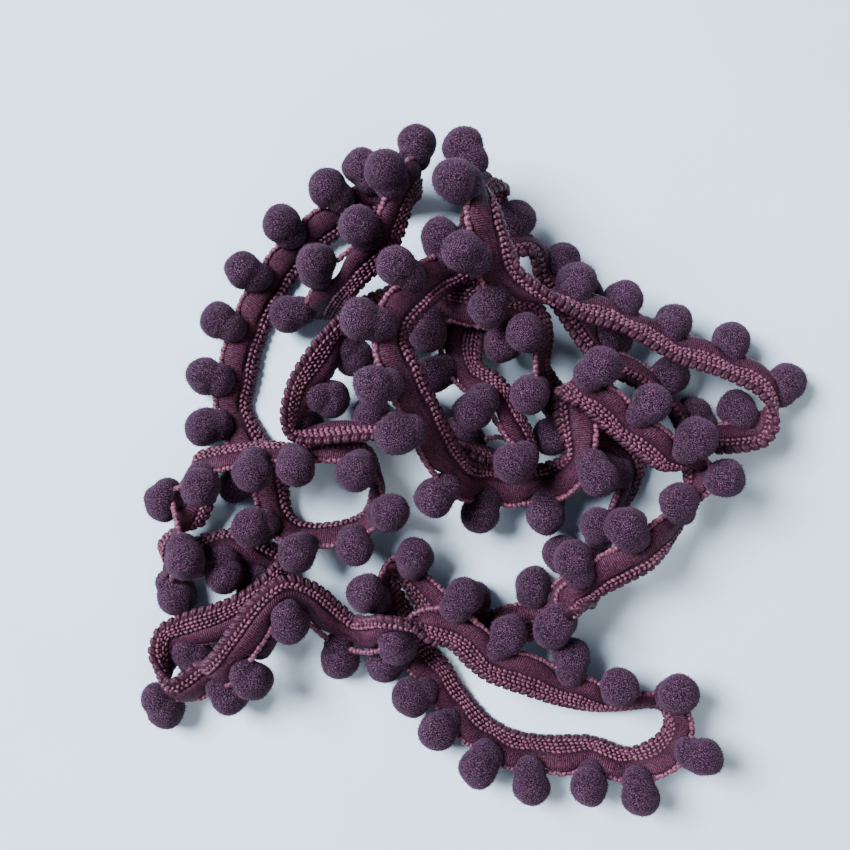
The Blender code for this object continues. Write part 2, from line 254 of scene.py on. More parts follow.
# The heap's route, one row for each pompom, in the order of the trim. across and
# down are the pompom's place in the picture, and height is its own in millimetres.
# facing is the way from the heading to the pompom, in degrees from the picture's
# right, turning towards its top. tilt is how far the pompom is raised above its
# heading, in degrees.
STRETCHES = {
    "inner_arm": [
        Row(291, 316, 5, 190, 0),
        Row(322, 267, 20, 115, 40),
        Row(362, 221, 24, 140, 45),
        Row(384, 172, 27, 118, 40),
    ],
    "arm_fold": [
        Row(415, 150, 14, 92, 0),
        Row(362, 170, 6, 125, 10),
        Row(329, 186, 10, 125, 35),
        Row(282, 224, 9, 130, 38),
    ],
    "outer_arm": [
        Row(246, 271, 7, 145, 28),
        Row(220, 321, 5, 160, 18),
        Row(206, 376, 4.6, 175, 16),
        Row(206, 432, 4.6, 180, 16),
    ],
    "left_loop_floor": [
        Row(226, 486, 5, 190, 12),
        Row(252, 528, 10, 205, 42),
        Row(296, 552, 12, 262, 60),
        Row(355, 548, 12, 281, 60),
    ],
    "left_loop_turn": [
        Row(390, 513, 14, 330, 60),
        Row(355, 470, 15, 264, 57),
    ],
    "left_loop_top": [
        Row(296, 456, 16, 270, 68),
        Row(253, 470, 16, 262, 55),
        Row(201, 483, 14, 284, 50),
        Row(167, 500, 7, 240, 0),
    ],
    "left_return": [
        Row(208, 560, 12, 296, 36),
        Row(169, 594, 5, 270, -8),
        Row(222, 601, 8, 262, 35),
        Row(264, 608, 6, 265, 20),
        Row(297, 604, 5, 285, 0),
    ],
    "left_tail_low": [
        Row(256, 634, 5, 305, -10),
        Row(214, 662, 5, 308, -15),
    ],
    "left_tail_top": [
        Row(171, 709, 5, 292, -12),
        Row(213, 692, 7, 300, -25),
        Row(260, 660, 10, 305, -25),
        Row(298, 615, 11, 285, -20),
    ],
    "middle_start": [
        Row(338, 655, 5, 276, -15),
        Row(380, 627, 8, 283, -44),
    ],
    "middle_run": [
        Row(464, 597, 15, 54, -5),
        Row(514, 632, 11, 58, 0),
        Row(571, 657, 9, 71, 5),
        Row(620, 687, 11, 80, 48),
        Row(672, 709, 12, 62, 58),
    ],
    "right_hairpin": [
        Row(705, 753, 11, 355, 42),
        Row(644, 788, 9, 270, 42),
        Row(589, 785, 8, 268, 38),
        Row(531, 785, 7, 262, 32),
    ],
    "lower_run": [
        Row(479, 766, 7, 235, 36),
        Row(436, 728, 6, 219, 28),
        Row(416, 694, 5.5, 214, 18),
        Row(390, 653, 5, 220, 12),
    ],
    "curl_and_low_run": [
        Row(371, 588, 11, 150, 50),
        Row(409, 581, 9, 95, 45),
        Row(472, 600, 5, 90, -5),
        Row(534, 584, 5, 95, -15),
        Row(562, 556, 6, 130, -5),
    ],
    "rise_to_centre": [
        Row(600, 524, 10, 125, 60),
        Row(607, 474, 8, 170, 25),
        Row(556, 443, 12, 205, 30),
        Row(534, 386, 22, 186, 58),
        Row(529, 337, 22, 190, 55),
    ],
    "centre_low": [
        Row(497, 345, 12, 215, -10),
        Row(442, 352, 9, 262, 0),
        Row(399, 333, 7, 285, 0),
    ],
    "inner_left": [
        Row(349, 353, 6, 308, -45),
        Row(329, 406, 6, 335, -35),
        Row(305, 427, 5, 45, -70),
    ],
    "inner_floor": [
        Row(371, 414, 5, 80, -60),
        Row(417, 403, 7, 95, -30),
        Row(470, 444, 5, 150, -45),
    ],
    "core_turn": [
        Row(511, 464, 20, 220, 15),
        Row(463, 423, 20, 228, 30),
        Row(430, 371, 14, 225, 20),
    ],
    "core_rise": [
        Row(433, 309, 7, 188, 5),
        Row(449, 247, 5, 175, 0),
        Row(466, 186, 8, 165, 0),
    ],
    "crest": [
        Row(464, 148, 22, 110, 0),
        Row(456, 182, 38, 170, 45),
        Row(462, 249, 36, 172, 30),
        Row(494, 311, 24, 233, -35),
    ],
    "right_arm": [
        Row(572, 287, 16, 80, -44),
        Row(621, 305, 13, 75, -48),
        Row(673, 324, 10, 72, -42),
        Row(731, 342, 7, 68, -38),
    ],
    "right_tip": [
        Row(784, 382, 5, 35, -40),
        Row(738, 409, 5, 120, -35),
        Row(692, 415, 5, 133, -20),
    ],
    "right_back": [
        Row(672, 377, 5, 38, -50),
        Row(612, 338, 8, 45, -45),
        Row(585, 296, 8, 50, -40),
        Row(561, 259, 7, 48, -40),
        Row(513, 221, 8, 55, -40),
    ],
    "arc_top": [
        Row(441, 238, 20, 115, 20),
        Row(397, 269, 30, 140, 30),
        Row(362, 322, 36, 165, 35),
    ],
    "arc_side": [
        Row(374, 378, 36, 185, 30),
        Row(398, 434, 32, 205, 30),
        Row(442, 476, 20, 225, 20),
    ],
    "arc_foot": [
        Row(487, 500, 10, 240, 5),
        Row(547, 510, 10, 275, 5),
        Row(598, 475, 21, 300, 40),
        Row(592, 388, 13, 50, 0),
    ],
    "upper_right": [
        Row(597, 368, 26, 48, 40),
        Row(648, 405, 24, 50, 32),
        Row(696, 438, 22, 50, 35),
        Row(721, 480, 19, 40, 62),
    ],
    "right_foot": [
        Row(678, 506, 16, 119, 58),
        Row(622, 521, 18, 128, 14),
        Row(573, 561, 16, 126, 20),
        Row(547, 629, 12, 230, -30),
    ],
}

Heap = namedtuple("Heap", "places facings links rings shift")


def unit(vectors):
    return vectors / np.maximum(np.linalg.norm(vectors, axis=-1, keepdims=True), TINY)


def pompom_places(rows):
    """Each pompom's real place, from where it is seen and how high it lies."""
    table = np.array(rows, float)
    height = table[:, 2] * MM
    scale = FLOOR_SCALE * (EYE_HEIGHT - height) / EYE_HEIGHT
    across = (table[:, 0] - PICTURE_CENTRE) * scale
    up = (PICTURE_CENTRE - table[:, 1]) * scale
    return np.stack([across, up, height], axis=1)


def pompom_facings(rows):
    """The way from the heading to each pompom."""
    table = np.radians(np.array(rows, float)[:, 3:5])
    facing, tilt = table[:, 0], table[:, 1]
    level = np.cos(tilt)
    return np.stack([level * np.cos(facing), level * np.sin(facing), np.sin(tilt)], axis=1)


def along(points):
    """The direction of travel at each point of a line."""
    ends = np.concatenate([2 * points[:1] - points[1:2], points, 2 * points[-1:] - points[-2:-1]])
    return unit(ends[2:] - ends[:-2])


def square_to(facings, directions):
    """The facings, turned to stand square to the direction of travel."""
    lean = np.sum(facings * directions, axis=1, keepdims=True)
    return unit(facings - np.clip(lean, -MOST_LEAN, MOST_LEAN) * directions)


def heading_middles(places, facings):
    """The heading's middle beside each pompom, and the facings made square to it."""
    middles = places - POMPOM_OUT * facings
    squared = facings
    for _ in range(SQUARE_ROUNDS):
        squared = square_to(facings, along(middles))
        middles = places - POMPOM_OUT * squared
    return middles, squared


def curve_between(points, steps):
    """A smooth curve through the points, with the given steps between each two."""
    ends = np.concatenate([2 * points[:1] - points[1:2], points, 2 * points[-1:] - points[-2:-1]])
    before, start, stop, after = ends[:-3], ends[1:-2], ends[2:-1], ends[3:]
    pieces = []
    for step in range(steps):
        t = step / steps
        pieces.append(
            0.5 * (2 * start + (stop - before) * t
                   + (2 * before - 5 * start + 4 * stop - after) * t ** 2
                   + (3 * start - before - 3 * stop + after) * t ** 3)
        )
    curve = np.stack(pieces, axis=1).reshape(-1, 3)
    return np.concatenate([curve, points[-1:]])


def trim_frames(places, facings, steps=SECTIONS_PER_POMPOM):
    """The heading's middle line and its facing at each section."""
    middles, squared = heading_middles(places, facings)
    line = curve_between(middles, steps)
    share = np.linspace(0, len(places) - 1, len(line))
    lower = np.minimum(share.astype(int), len(places) - 2)
    part = (share - lower)[:, None]
    blended = unit(squared[lower] * (1 - part) + squared[lower + 1] * part)
    turned = square_to(blended, along(line))
    turned[::steps] = squared
    return line, turned, share


def spread(moves, share, count):
    """Moves of points along the trim, handed to the rows on either side."""
    lower = np.minimum(share.astype(int), count - 2)
    part = (share - lower)[:, None]
    total = np.zeros((count, 3))
    weight = np.zeros((count, 1))
    touched = (np.abs(moves).sum(axis=1, keepdims=True) > 0).astype(float)
    for index, share_of in ((lower, 1 - part), (lower + 1, part)):
        np.add.at(total, index, moves * share_of)
        np.add.at(weight, index, touched * share_of)
    return total / np.maximum(weight, 1)


def soft_spots(places, facings):
    """Small spheres that stand for the trim while its stretches ease apart."""
    line, turned, share = trim_frames(places, facings, EASE_SECTIONS)
    count = len(places)
    spots = [places]
    sizes = [np.full(count, POMPOM_RADIUS)]
    shares = [np.arange(count, dtype=float)]
    for out, size in SOFT_LANES:
        spots.append(line + out * MM * turned)
        sizes.append(np.full(len(line), size * MM))
        shares.append(share)
    return np.concatenate(spots), np.concatenate(sizes), np.concatenate(shares)


def near_pairs(spots, sizes, shares, count):
    """The pairs of spheres that lie near each other but not along the same fold."""
    squares = (spots ** 2).sum(axis=1)
    apart = squares[:, None] + squares[None, :] - 2 * spots @ spots.T
    reach = sizes[:, None] + sizes[None, :] + EASE_LOOK
    is_ball = np.arange(len(spots)) < count
    is_cord = np.arange(len(spots)) >= len(spots) - (len(spots) - count) // len(SOFT_LANES)
    both = is_ball[:, None] & is_ball[None, :]
    one = is_ball[:, None] & is_cord[None, :]
    least = np.where(both, BALLS_APART, np.where(one | one.T, BALL_AND_CORD_APART, OTHERS_APART))
    steps_off = np.abs(shares[:, None] - shares[None, :])
    first, second = np.nonzero((apart < reach ** 2) & (steps_off > least))
    ordered = first < second
    return first[ordered], second[ordered]


def ease_apart(places, facings):
    """Raise and shift the rows over a fixed number of rounds, easing the stretches out of each other."""
    home = places
    count = len(places)
    for round_number in range(EASE_ROUNDS):
        spots, sizes, shares = soft_spots(places, facings)
        if round_number % PAIRS_EVERY == 0:
            first, second = near_pairs(spots, sizes, shares, count)
        apart = spots[first] - spots[second]
        distance = np.maximum(np.linalg.norm(apart, axis=1), LEAST_DISTANCE)
        overlap = np.maximum(sizes[first] + sizes[second] + EASE_GAP - distance, 0)
        push = apart * (overlap / distance * 0.5)[:, None]
        moves = np.zeros_like(spots)
        np.add.at(moves, first, push)
        np.add.at(moves, second, -push)
        floor = np.where(np.arange(len(spots)) < count, sizes - PRESSED, sizes)
        moves[:, 2] += np.maximum(floor - spots[:, 2], 0)
        shift = spread(moves, shares, count)
        length = np.linalg.norm(shift, axis=1, keepdims=True)
        shift *= np.minimum(1, EASE_STEP / np.maximum(length, TINY))
        places = places + shift + HOME_PULL * (home - places)
        places[:, 2] = np.maximum(places[:, 2], POMPOM_RADIUS - PRESSED)
    return places


def clear_of(points, places, least):
    """The points, moved out of every pompom to the least distance from its middle."""
    for place in places:
        away = points - place
        distance = np.maximum(np.linalg.norm(away, axis=-1, keepdims=True), LEAST_DISTANCE)
        points = place + away * np.maximum(1, least / distance)
    return points


def all_rows():
    rows = []
    for stretch in STRETCHES.values():
        rows.extend(stretch)
    return rows


def raised(points, least):
    """The points, with none lower than the least height."""
    points[..., 2] = np.maximum(points[..., 2], least)
    return points


def on_floor(ring):
    """The ring with whatever would pass through the floor pressed flat against it."""
    return raised(np.array(ring), 0)


def heading_ring(middle, facing, direction, scallop):
    """The heading's section: a braided band that swells into a padded scallop."""
    normal = np.cross(direction, facing)
    reach = DIP_REACH + (SCALLOP_REACH - DIP_REACH) * scallop
    swell = BRAID_HALF_THICKNESS + (SCALLOP_HALF_THICKNESS - BRAID_HALF_THICKNESS) * scallop
    shoulder = reach - SCALLOP_SHOULDER
    outline = [
        (-HEADING_HALF, 0),
        (-HEADING_HALF + BRAID_SHOULDER, -BRAID_HALF_THICKNESS),
        (shoulder, -swell),
        (reach, 0),
        (shoulder, swell),
        (-HEADING_HALF + BRAID_SHOULDER, BRAID_HALF_THICKNESS),
    ]
    return np.array([middle + out * facing + lift * normal for out, lift in outline])


def scallop_fullness(room):
    """How far a scallop swells, from the room between the heading and the cord beside it."""
    fullness = (room - LINK_ROOM - DIP_REACH) / (SCALLOP_REACH - DIP_REACH)
    return min(1.0, max(LEAST_FULLNESS, fullness))


def heading_rings(line, facings, share, places, links):
    """The heading's sections, dented wherever a pompom presses into them."""
    directions = along(line)
    rings = []
    for middle, facing, direction, place in zip(line, facings, directions, share):
        scallop = 0.0
        if abs(place - round(place)) > AT_A_DIP:
            scallop = scallop_fullness(np.dot(links[int(place)] - middle, facing))
        ring = heading_ring(middle, facing, direction, scallop)
        for _ in range(DENT_ROUNDS):
            ring = clear_of(ring, places, POMPOM_RADIUS + DENT_MARGIN)
        rings.append(on_floor(ring))
    return rings


def link_places(places, facings):
    """Where the beaded cord passes between each pompom and the next, clear of every pompom."""
    line, turned, _ = trim_frames(places, facings, EASE_SECTIONS)
    halfway = slice(EASE_SECTIONS // 2, None, EASE_SECTIONS)
    links = line[halfway] + CORD_OUT * turned[halfway]
    for _ in range(LINK_ROUNDS):
        links = clear_of(links, places, POMPOM_RADIUS + LINK_ROOM)
    return links


@lru_cache(maxsize=1)
def heap():
    """The trim's course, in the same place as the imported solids."""
    rows = all_rows()
    facings = pompom_facings(rows)
    places = ease_apart(pompom_places(rows), facings)
    links = link_places(places, facings)
    rings = np.array(heading_rings(*trim_frames(places, facings), places, links))
    shift = np.array(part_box("heading")[0]) - rings.reshape(-1, 3).min(axis=0)
    return Heap(places + shift, facings, links + shift, rings + shift, shift)


@lru_cache(maxsize=1)
def fine_rings():
    """The heading's sections, closely spaced on a smooth course."""
    rings = heap().rings
    corners = [curve_between(rings[:, corner], FINE_STEPS) for corner in range(rings.shape[1])]
    return raised(np.stack(corners, axis=1), LOWEST_SECTION)


def ahead_of(rings):
    return along(rings.mean(axis=1))


def up_from(rings):
    """The way out of the heading's upper face at each section."""
    return unit(np.cross(ahead_of(rings), rings[:, SCALLOP_EDGE] - rings[:, OUTER_EDGE]))


def face_line(rings, upper, across):
    """A line along one face. across is 0 at the outer edge, 1 and 2 at the flat's edges
    and 3 at the scallops' edge."""
    order = UPPER_FACE if upper else LOWER_FACE
    first = min(int(across), 2)
    part = across - first
    return rings[:, order[first]] * (1 - part) + rings[:, order[first + 1]] * part


def run_along(line):
    """The distance along a line at each of its points."""
    return np.concatenate([[0], np.cumsum(np.linalg.norm(np.diff(line, axis=0), axis=1))])


def evenly(line, pitch):
    """Places along a line the same distance apart, counted in its own points."""
    length = run_along(line)
    wanted = np.arange(pitch / 2, length[-1], pitch)
    return np.interp(wanted, length, np.arange(len(line)))


def at_places(rows, where):
    lower = np.minimum(where.astype(int), len(rows) - 2)
    part = (where - lower)[:, None]
    return rows[lower] * (1 - part) + rows[lower + 1] * part


def turns(ahead, up):
    """The turn that points a bead's length ahead and its top up, as angles about X, Y and Z."""
    ahead = unit(ahead)
    side = unit(np.cross(up, ahead))
    top = np.cross(ahead, side)
    about_x = np.arctan2(side[:, 2], top[:, 2])
    about_y = -np.arcsin(np.clip(ahead[:, 2], -1, 1))
    about_z = np.arctan2(ahead[:, 1], ahead[:, 0])
    return np.stack([about_x, about_y, about_z], axis=1)


def slanted(ahead, up, angle):
    """The direction ahead, turned about up by an angle in radians."""
    return ahead * np.cos(angle) + np.cross(up, ahead) * np.sin(angle)


def linked_object(name, mesh):
    thing = bpy.data.objects.new(name, mesh)
    bpy.context.scene.collection.objects.link(thing)
    return thing


def skin(name, rings, finish):
    """A mesh over a row of like-numbered rings, with its ends closed."""
    count, sides = rings.shape[:2]
    faces = []
    for row in range(count - 1):
        here = row * sides
        there = here + sides
        for side in range(sides):
            other = (side + 1) % sides
            faces.append((here + side, here + other, there + other, there + side))
    faces.append(tuple(reversed(range(sides))))
    faces.append(tuple(range((count - 1) * sides, count * sides)))
    mesh = bpy.data.meshes.new(name)
    mesh.from_pydata(rings.reshape(-1, 3).tolist(), [], faces)
    mesh.materials.append(finish)
    mesh.shade_smooth()
    return mesh


def facing_out(mesh):
    """Turns a closed mesh's faces outwards."""
    bm = bmesh.new()
    bm.from_mesh(mesh)
    bmesh.ops.recalc_face_normals(bm, faces=bm.faces)
    bm.to_mesh(mesh)
    bm.free()


def keep_values(mesh, name, kind, values):
    attribute = mesh.attributes.new(name, kind, "POINT")
    key = "vector" if kind == "FLOAT_VECTOR" else "value"
    attribute.data.foreach_set(key, np.asarray(values, np.float32).ravel())


def plain(thing):
    """Turns what a piece's modifiers make into its own mesh."""
    graph = bpy.context.evaluated_depsgraph_get()
    mesh = bpy.data.meshes.new_from_object(thing.evaluated_get(graph))
    thing.modifiers.clear()
    thing.data = mesh
    return thing


def kept_above_floor(thing):
    """The piece, with whatever would pass through the surface under it pressed against it."""
    places = np.zeros(len(thing.data.vertices) * 3, np.float32)
    thing.data.vertices.foreach_get("co", places)
    places = raised(places.reshape(-1, 3), 0)
    thing.data.vertices.foreach_set("co", places.ravel())
    thing.data.update()
    return thing


def new_tree(name, inputs):
    """A geometry node tree with a mesh going in and out and named inputs."""
    tree = bpy.data.node_groups.new(name, "GeometryNodeTree")
    tree.is_modifier = True
    tree.interface.new_socket("Geometry", in_out="INPUT", socket_type="NodeSocketGeometry")
    for label, kind in inputs:
        tree.interface.new_socket(label, in_out="INPUT", socket_type=kind)
    tree.interface.new_socket("Geometry", in_out="OUTPUT", socket_type="NodeSocketGeometry")
    return tree, tree.nodes.new("NodeGroupInput"), tree.nodes.new("NodeGroupOutput")


def new_node(nodes, kind, values):
    """A node with its inputs set to the values given by name."""
    node = nodes.new(kind)
    for socket, value in values.items():
        node.inputs[socket].default_value = value
    return node


def grown(thing, tree, values):
    """Gives a piece the tree with its values, and makes the result plain."""
    modifier = thing.modifiers.new("rows", "NODES")
    modifier.node_group = tree
    for socket in tree.interface.items_tree:
        if socket.name in values:
            modifier[socket.identifier] = values[socket.name]
    return kept_above_floor(plain(thing))


def finish_tree(tree, instances, end, finish):
    """Ends a tree in smooth real faces with one material."""
    real = tree.nodes.new("GeometryNodeRealizeInstances")
    smooth = tree.nodes.new("GeometryNodeSetShadeSmooth")
    paint = new_node(tree.nodes, "GeometryNodeSetMaterial", {"Material": finish})
    tree.links.new(instances, real.inputs["Geometry"])
    tree.links.new(real.outputs["Geometry"], smooth.inputs["Geometry"])
    tree.links.new(smooth.outputs["Geometry"], paint.inputs["Geometry"])
    tree.links.new(paint.outputs["Geometry"], end.inputs["Geometry"])


def placed_on(tree, points, thing, rotation, scale):
    """Sets one of the thing on each point, turned and sized by the values given."""
    place = tree.nodes.new("GeometryNodeInstanceOnPoints")
    tree.links.new(points, place.inputs["Points"])
    tree.links.new(thing, place.inputs["Instance"])
    tree.links.new(rotation, place.inputs["Rotation"])
    tree.links.new(scale, place.inputs["Scale"])
    return place.outputs["Instances"]


def point_value(tree, name, kind):
    """The value of that name that each point holds."""
    node = new_node(tree.nodes, "GeometryNodeInputNamedAttribute", {"Name": name})
    node.data_type = kind
    return node.outputs["Attribute"]


def random_value(tree, kind, least, most):
    """A random value for each point, between the two given."""
    node = tree.nodes.new("FunctionNodeRandomValue")
    node.data_type = kind
    low, high, result = RANDOM_SOCKETS[kind]
    node.inputs[low].default_value = least
    node.inputs[high].default_value = most
    return node.outputs[result]


def bead_tree(name, segments, rounds, finish):
    """Sets a rounded bead on each point, turned and sized by the point's own values."""
    tree, start, end = new_tree(name, [(label, "NodeSocketFloat") for label in BEAD_SIZES])
    values = {"Segments": segments, "Rings": rounds, "Radius": 0.5}
    bead = new_node(tree.nodes, "GeometryNodeMeshUVSphere", values)
    shape = tree.nodes.new("ShaderNodeCombineXYZ")
    for label, axis in zip(BEAD_SIZES, "XYZ"):
        tree.links.new(start.outputs[label], shape.inputs[axis])
    grow = tree.nodes.new("GeometryNodeTransform")
    tree.links.new(bead.outputs["Mesh"], grow.inputs["Geometry"])
    tree.links.new(shape.outputs["Vector"], grow.inputs["Scale"])
    turn = point_value(tree, "turn", "FLOAT_VECTOR")
    size = point_value(tree, "size", "FLOAT")
    beads = placed_on(tree, start.outputs["Geometry"], grow.outputs["Geometry"], turn, size)
    finish_tree(tree, beads, end, finish)
    return tree


def bead_rows(name, points, turn, size, tree, shape):
    """A piece with a bead of the given length, width and height on each point."""
    mesh = bpy.data.meshes.new(name)
    mesh.from_pydata(points.tolist(), [], [])
    keep_values(mesh, "turn", "FLOAT_VECTOR", turn)
    keep_values(mesh, "size", "FLOAT", size)
    return grown(linked_object(name, mesh), tree, dict(zip(BEAD_SIZES, shape)))


def pile_tree(name, finish):
    """Scatters short upright fibres over a surface."""
    labels = ("Fibres Per Area", "Fibre Length", "Fibre Width")
    inputs = [(label, "NodeSocketFloat") for label in labels]
    tree, start, end = new_tree(name, [*inputs, ("Seed", "NodeSocketInt")])
    scatter = tree.nodes.new("GeometryNodeDistributePointsOnFaces")
    tree.links.new(start.outputs["Geometry"], scatter.inputs["Mesh"])
    tree.links.new(start.outputs["Fibres Per Area"], scatter.inputs["Density"])
    tree.links.new(start.outputs["Seed"], scatter.inputs["Seed"])
    fibre = new_node(tree.nodes, "GeometryNodeMeshCone", {"Vertices": FIBRE_SIDES, "Radius Top": 0})
    fibre.fill_type = "NONE"
    tree.links.new(start.outputs["Fibre Width"], fibre.inputs["Radius Bottom"])
    tree.links.new(start.outputs["Fibre Length"], fibre.inputs["Depth"])
    tilt = tree.nodes.new("FunctionNodeRotateRotation")
    tilt.rotation_space = "LOCAL"
    tree.links.new(scatter.outputs["Rotation"], tilt.inputs["Rotation"])
    tree.links.new(random_value(tree, "FLOAT_VECTOR", *FIBRE_TURNS_RADIANS), tilt.inputs["Rotate By"])
    size = random_value(tree, "FLOAT", *FIBRE_SIZES)
    turn = tilt.outputs["Rotation"]
    fibres = placed_on(tree, scatter.outputs["Points"], fibre.outputs["Mesh"], turn, size)
    finish_tree(tree, fibres, end, finish)
    return tree


def new_finish(name, values):
    """A material with its shader's inputs set to the values given by name."""
    finish = bpy.data.materials.new(name)
    finish.use_nodes = True
    nodes, links = finish.node_tree.nodes, finish.node_tree.links
    shader = nodes["Principled BSDF"]
    for socket, value in values.items():
        shader.inputs[socket].default_value = value
    return finish, nodes, links, shader


def link_noise(nodes, links, coordinates, scale, detail):
    values = {"Scale": scale, "Detail": detail, "Roughness": NOISE_ROUGHNESS}
    noise = new_node(nodes, "ShaderNodeTexNoise", values)
    links.new(coordinates, noise.inputs["Vector"])
    return noise.outputs["Fac"]


def ramp_between(nodes, links, value, stops):
    ramp = nodes.new("ShaderNodeValToRGB")
    while len(ramp.color_ramp.elements) < len(stops):
        ramp.color_ramp.elements.new(0.5)
    for element, (position, colour) in zip(ramp.color_ramp.elements, stops):
        element.position = position
        element.color = (*colour, 1)
    links.new(value, ramp.inputs["Fac"])
    return ramp.outputs["Color"]


def multiplied(nodes, links, first, second):
    """One colour times the other."""
    mix = new_node(nodes, "ShaderNodeMix", {"Factor": 1})
    mix.data_type = "RGBA"
    mix.blend_type = "MULTIPLY"
    links.new(first, mix.inputs[MIX_FIRST])
    links.new(second, mix.inputs[MIX_SECOND])
    return mix.outputs[MIX_RESULT]


def in_patches(nodes, links, colour, place, scale, shade):
    """The colour, darkened in broad soft patches."""
    broad = link_noise(nodes, links, place, scale, PATCH_DETAIL)
    patches = ramp_between(nodes, links, broad, tuple(zip(PATCH_ENDS, (shade, WHITE))))
    return multiplied(nodes, links, colour, patches)


def relief_from(nodes, links, height, values):
    relief = new_node(nodes, "ShaderNodeBump", values)
    links.new(height, relief.inputs["Height"])
    return relief


def thread_material(name, dark, light, yarn):
    """A yarn finish: broad tints, a fine mottle from the yarn's shaded colour to its lit colour that
    paints light and shade into it, and the yarn's own values.
    """
    values = {"Specular IOR Level": yarn.specular, "Specular Tint": YARN_SHINE_TINT}
    finish, nodes, links, shader = new_finish(name, values)
    place = nodes.new("ShaderNodeTexCoord").outputs["Object"]
    fine = link_noise(nodes, links, place, yarn.grain, YARN_DETAIL)
    # Painted light and shade: fine random spots run from the shaded colour to the lit colour.
    tint = ramp_between(nodes, links, fine, tuple(zip(YARN_ENDS, (dark, light))))
    colour = in_patches(nodes, links, tint, place, YARN_PATCHES, YARN_PATCH_SHADE)
    links.new(colour, shader.inputs["Base Color"])
    ends = {"To Min": yarn.roughness - SMOOTHER, "To Max": yarn.roughness + ROUGHER}
    rough = new_node(nodes, "ShaderNodeMapRange", ends)
    links.new(fine, rough.inputs["Value"])
    links.new(rough.outputs["Result"], shader.inputs["Roughness"])
    relief = relief_from(nodes, links, fine, {"Strength": yarn.bump, "Distance": YARN_RELIEF})
    links.new(relief.outputs["Normal"], shader.inputs["Normal"])
    return finish


def satin_material(name, dark, light):
    """Satin thread wound side by side across the scallops, following their own map, with painted shade
    in the grooves between the threads.
    """
    finish = thread_material(name, dark, light, SATIN_YARN)
    nodes, links = finish.node_tree.nodes, finish.node_tree.links
    shader = nodes["Principled BSDF"]
    own = nodes.new("ShaderNodeUVMap")
    own.uv_map = "wrap"
    wave = new_node(nodes, "ShaderNodeTexWave", SATIN_THREADS)
    wave.bands_direction = "X"
    links.new(own.outputs["UV"], wave.inputs["Vector"])
    # Painted shade: the wave darkens the colour in the grooves between the threads.
    groove_shade = ramp_between(nodes, links, wave.outputs["Fac"], SATIN_GROOVE_SHADE)
    yarn = shader.inputs["Base Color"].links[0].from_socket
    links.new(multiplied(nodes, links, yarn, groove_shade), shader.inputs["Base Color"])
    fibres = nodes["Bump"].outputs["Normal"]
    relief = relief_from(nodes, links, wave.outputs["Fac"], SATIN_RELIEF)
    links.new(fibres, relief.inputs["Normal"])
    links.new(relief.outputs["Normal"], shader.inputs["Normal"])
    return finish


def chenille_material(name, shade_own_and_glint):
    """Velvety pile: painted shade in dark spots between the fibre ends, the pile's own colour, and
    painted glints in fine pale specks on the fibre ends.
    """
    finish, nodes, links, shader = new_finish(name, PILE_VALUES)
    place = nodes.new("ShaderNodeTexCoord").outputs["Object"]
    fine = link_noise(nodes, links, place, PILE_GRAIN, PILE_DETAIL)
    tint = ramp_between(nodes, links, fine, tuple(zip(PILE_STOPS, shade_own_and_glint)))
    colour = in_patches(nodes, links, tint, place, PILE_PATCHES, PILE_PATCH_SHADE)
    links.new(colour, shader.inputs["Base Color"])
    relief = relief_from(nodes, links, fine, PILE_RELIEF)
    links.new(relief.outputs["Normal"], shader.inputs["Normal"])
    return finish


def floor_material(colour):
    """Pale painted boards, kept plain."""
    finish, nodes, links, shader = new_finish("pale_floor", FLOOR_VALUES)
    place = nodes.new("ShaderNodeTexCoord").outputs["Object"]
    broad = link_noise(nodes, links, place, FLOOR_PATCHES, PATCH_DETAIL)
    shade = tuple(part * FLOOR_PATCH_SHARE for part in colour)
    tint = ramp_between(nodes, links, broad, tuple(zip(PATCH_ENDS, (shade, colour))))
    links.new(tint, shader.inputs["Base Color"])
    return finish


def colours():
    return bpy.context.scene.trim_colours


def sizes():
    return bpy.context.scene.trim_sizes


@lru_cache(maxsize=1)
def finishes():
    """The trim's materials, made once."""
    shades = colours()
    # The yarns' shaded colour is painted shade at the dark end of each yarn's mottle, and each lit
    # colour is painted light.
    deep = tuple(shades.braid_dark)
    light, glint = tuple(shades.pile_light), tuple(shades.pile_glint)
    return {
        "band": thread_material("band_yarn", deep, tuple(shades.braid_light), BAND_YARN),
        "edge": thread_material("edge_yarn", deep, tuple(shades.edge_light), EDGE_YARN),
        "stitch": thread_material("stitch_yarn", deep, tuple(shades.stitch_light), STITCH_YARN),
        "satin": satin_material("satin_wrap", deep, tuple(shades.satin_light)),
        "pile": chenille_material("chenille_pile", (tuple(shades.pile_dark), light, glint)),
        # The fibres run from the pile's own colour up to its painted glints.
        "fibre": thread_material("pile_fibre", light, glint, FIBRE_YARN),
    }


def dressed(thing, slot, *nodes):
    """Sets a finished piece on the heap and hides the imported parts that it stands for."""
    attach(thing, "root")
    if nodes:
        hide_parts(*nodes)


def build_band():
    """The band's own body, which the stitches and scallops cover."""
    rings = fine_rings()
    between = (rings + np.roll(rings, -1, axis=1)) / 2
    doubled = np.stack([rings, between], axis=2).reshape(len(rings), -1, 3)
    centre = rings.mean(axis=1, keepdims=True)
    eased = raised(centre + (doubled - centre) * BAND_SHARE, LOWEST_SKIN)
    mesh = skin("braid_band", eased, finishes()["band"])
    facing_out(mesh)
    dressed(linked_object("braid_band", mesh), "braid", "heading")


